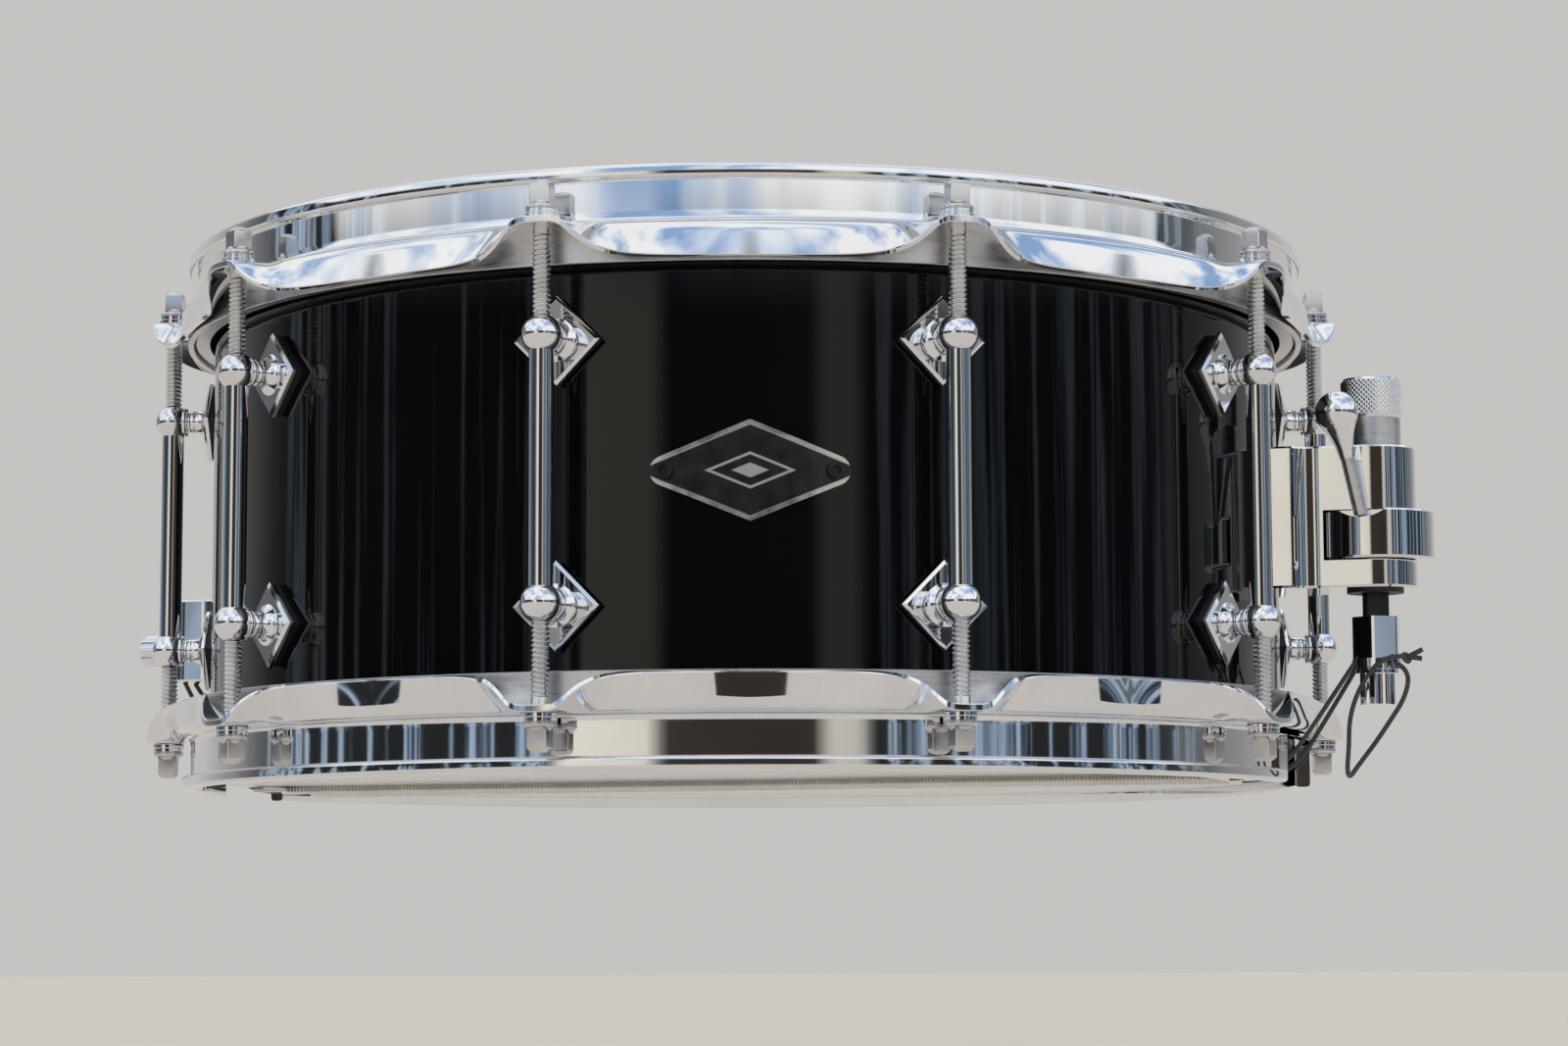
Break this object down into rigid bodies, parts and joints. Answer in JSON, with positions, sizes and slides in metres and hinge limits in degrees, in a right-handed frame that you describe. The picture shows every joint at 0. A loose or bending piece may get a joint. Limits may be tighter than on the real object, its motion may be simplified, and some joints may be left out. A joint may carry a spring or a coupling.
{
  "type": "snare drum",
  "caption": "Black lacquered snare drum with folded-flange chrome hoops, tube lugs, a lever strainer, a butt and snare wires.",
  "frame": {"origin": "on the drum's axis, at the middle of the bottom rim's gripping land", "axes": "+Z along the drum's axis towards the batter head, -Y towards the badge, +X towards the strainer's side"},
  "size_m": [0.4339, 0.3844, 0.1747],
  "materials": {
    "lacquer": "gloss black lacquer over wood",
    "chrome": "polished",
    "satin": "satin",
    "steel": "plain",
    "black": "matt black",
    "film": "coated white film",
    "clear": "thin hazy film",
    "cord": "ribbed nylon",
    "badge": "polished with a dark fill",
    "alloy": "extruded"
  },
  "bodies": {
    "drum": {"shell": "lacquer", "batter_film": "film", "batter_flesh_hoop": "alloy", "snare_film": "clear", "snare_flesh_hoop": "alloy", "top_hoop": "chrome", "bottom_hoop": "chrome", "lug_gaskets": "black", "inner_screws": "steel", "rod_washers": "chrome", "badge": "badge", "badge_rivets": "black", "strainer_body": "chrome", "guide_bush": "black", "snare_cords": "cord", "butt_cords": "cord", "butt_body": "chrome", "tube_lug_01": "chrome", "tube_lug_02": "chrome", "tube_lug_03": "chrome", "tube_lug_04": "chrome", "tube_lug_05": "chrome", "tube_lug_06": "chrome", "tube_lug_07": "chrome", "tube_lug_08": "chrome", "tube_lug_09": "chrome", "tube_lug_10": "chrome"},
    "lever": {"strainer_ring": "chrome", "lever_arm": "chrome", "lever_knob": "black"},
    "carriage": {"tension_sleeve": "satin"},
    "knob": {"tension_knob": "chrome"},
    "lift": {"lift_rod": "black", "clamp_block": "chrome", "spare_cord_loop": "cord", "cord_knot": "cord"},
    "clamp_screw": {"clamp_screw": "chrome"},
    "snares": {"snare_wires": "steel"},
    "butt_screw": {"butt_screw": "chrome"},
    "batter_rod_01": {"batter_rod_01": "steel"},
    "snare_rod_01": {"snare_rod_01": "steel"},
    "batter_rod_02": {"batter_rod_02": "steel"},
    "snare_rod_02": {"snare_rod_02": "steel"},
    "batter_rod_03": {"batter_rod_03": "steel"},
    "snare_rod_03": {"snare_rod_03": "steel"},
    "batter_rod_04": {"batter_rod_04": "steel"},
    "snare_rod_04": {"snare_rod_04": "steel"},
    "batter_rod_05": {"batter_rod_05": "steel"},
    "snare_rod_05": {"snare_rod_05": "steel"},
    "batter_rod_06": {"batter_rod_06": "steel"},
    "snare_rod_06": {"snare_rod_06": "steel"},
    "batter_rod_07": {"batter_rod_07": "steel"},
    "snare_rod_07": {"snare_rod_07": "steel"},
    "batter_rod_08": {"batter_rod_08": "steel"},
    "snare_rod_08": {"snare_rod_08": "steel"},
    "batter_rod_09": {"batter_rod_09": "steel"},
    "snare_rod_09": {"snare_rod_09": "steel"},
    "batter_rod_10": {"batter_rod_10": "steel"},
    "snare_rod_10": {"snare_rod_10": "steel"}
  },
  "joints": [
    {"name": "lever_swing", "type": "hinge", "parent": "drum", "child": "lever", "pos_m": [0.20058, -0.06517, 0.0762], "axis": [0, 0, 1], "range_deg": [0, 120]},
    {"name": "carriage_drop", "type": "slide", "parent": "drum", "child": "carriage", "axis": [0, 0, -1], "range_m": [0, 0.006], "deforming": ["snare_cords"]},
    {"name": "snare_drop", "type": "slide", "parent": "drum", "child": "snares", "axis": [0, 0, -1], "range_m": [0, 0.0008]},
    {"name": "knob_turn", "type": "hinge", "parent": "carriage", "child": "knob", "pos_m": [0.20058, -0.06517, 0.1202], "axis": [0, 0, 1], "range_deg": [-720, 720]},
    {"name": "lift_travel", "type": "slide", "parent": "carriage", "child": "lift", "axis": [0, 0, 1], "range_m": [-0.002, 0.002]},
    {"name": "clamp_screw_turn", "type": "hinge", "parent": "lift", "child": "clamp_screw", "pos_m": [0.20058, -0.06517, 0.0342], "axis": [0, 0, 1], "range_deg": [-180, 180]},
    {"name": "butt_screw_turn", "type": "hinge", "parent": "drum", "child": "butt_screw", "pos_m": [-0.20486, 0.06656, 0.0506], "axis": [-0.9511, 0.309, 0], "range_deg": [-180, 180]},
    {"name": "batter_rod_01_turn", "type": "hinge", "parent": "drum", "child": "batter_rod_01", "pos_m": [0.05976, -0.18393, 0.1642], "axis": [0, 0, 1], "range_deg": [-720, 720]},
    {"name": "snare_rod_01_turn", "type": "hinge", "parent": "drum", "child": "snare_rod_01", "pos_m": [0.05976, -0.18393, 0.0062], "axis": [0, 0, 1], "range_deg": [-720, 720]},
    {"name": "batter_rod_02_turn", "type": "hinge", "parent": "drum", "child": "batter_rod_02", "pos_m": [0.15646, -0.11368, 0.1642], "axis": [0, 0, 1], "range_deg": [-720, 720]},
    {"name": "snare_rod_02_turn", "type": "hinge", "parent": "drum", "child": "snare_rod_02", "pos_m": [0.15646, -0.11368, 0.0062], "axis": [0, 0, 1], "range_deg": [-720, 720]},
    {"name": "batter_rod_03_turn", "type": "hinge", "parent": "drum", "child": "batter_rod_03", "pos_m": [0.1934, 0, 0.1642], "axis": [0, 0, 1], "range_deg": [-720, 720]},
    {"name": "snare_rod_03_turn", "type": "hinge", "parent": "drum", "child": "snare_rod_03", "pos_m": [0.1934, 0, 0.0062], "axis": [0, 0, 1], "range_deg": [-720, 720]},
    {"name": "batter_rod_04_turn", "type": "hinge", "parent": "drum", "child": "batter_rod_04", "pos_m": [0.15646, 0.11368, 0.1642], "axis": [0, 0, 1], "range_deg": [-720, 720]},
    {"name": "snare_rod_04_turn", "type": "hinge", "parent": "drum", "child": "snare_rod_04", "pos_m": [0.15646, 0.11368, 0.0062], "axis": [0, 0, 1], "range_deg": [-720, 720]},
    {"name": "batter_rod_05_turn", "type": "hinge", "parent": "drum", "child": "batter_rod_05", "pos_m": [0.05976, 0.18393, 0.1642], "axis": [0, 0, 1], "range_deg": [-720, 720]},
    {"name": "snare_rod_05_turn", "type": "hinge", "parent": "drum", "child": "snare_rod_05", "pos_m": [0.05976, 0.18393, 0.0062], "axis": [0, 0, 1], "range_deg": [-720, 720]},
    {"name": "batter_rod_06_turn", "type": "hinge", "parent": "drum", "child": "batter_rod_06", "pos_m": [-0.05976, 0.18393, 0.1642], "axis": [0, 0, 1], "range_deg": [-720, 720]},
    {"name": "snare_rod_06_turn", "type": "hinge", "parent": "drum", "child": "snare_rod_06", "pos_m": [-0.05976, 0.18393, 0.0062], "axis": [0, 0, 1], "range_deg": [-720, 720]},
    {"name": "batter_rod_07_turn", "type": "hinge", "parent": "drum", "child": "batter_rod_07", "pos_m": [-0.15646, 0.11368, 0.1642], "axis": [0, 0, 1], "range_deg": [-720, 720]},
    {"name": "snare_rod_07_turn", "type": "hinge", "parent": "drum", "child": "snare_rod_07", "pos_m": [-0.15646, 0.11368, 0.0062], "axis": [0, 0, 1], "range_deg": [-720, 720]},
    {"name": "batter_rod_08_turn", "type": "hinge", "parent": "drum", "child": "batter_rod_08", "pos_m": [-0.1934, 0, 0.1642], "axis": [0, 0, 1], "range_deg": [-720, 720]},
    {"name": "snare_rod_08_turn", "type": "hinge", "parent": "drum", "child": "snare_rod_08", "pos_m": [-0.1934, 0, 0.0062], "axis": [0, 0, 1], "range_deg": [-720, 720]},
    {"name": "batter_rod_09_turn", "type": "hinge", "parent": "drum", "child": "batter_rod_09", "pos_m": [-0.15646, -0.11368, 0.1642], "axis": [0, 0, 1], "range_deg": [-720, 720]},
    {"name": "snare_rod_09_turn", "type": "hinge", "parent": "drum", "child": "snare_rod_09", "pos_m": [-0.15646, -0.11368, 0.0062], "axis": [0, 0, 1], "range_deg": [-720, 720]},
    {"name": "batter_rod_10_turn", "type": "hinge", "parent": "drum", "child": "batter_rod_10", "pos_m": [-0.05976, -0.18393, 0.1642], "axis": [0, 0, 1], "range_deg": [-720, 720]},
    {"name": "snare_rod_10_turn", "type": "hinge", "parent": "drum", "child": "snare_rod_10", "pos_m": [-0.05976, -0.18393, 0.0062], "axis": [0, 0, 1], "range_deg": [-720, 720]}
  ],
  "couplings": [
    {"joint": "lever_swing", "follows": "carriage_drop", "rad_per_m": 348.72},
    {"joint": "snare_drop", "follows": "carriage_drop", "ratio": 0.1332},
    {"joint": "knob_turn", "follows": "lift_travel", "rad_per_m": 6276.9}
  ]
}
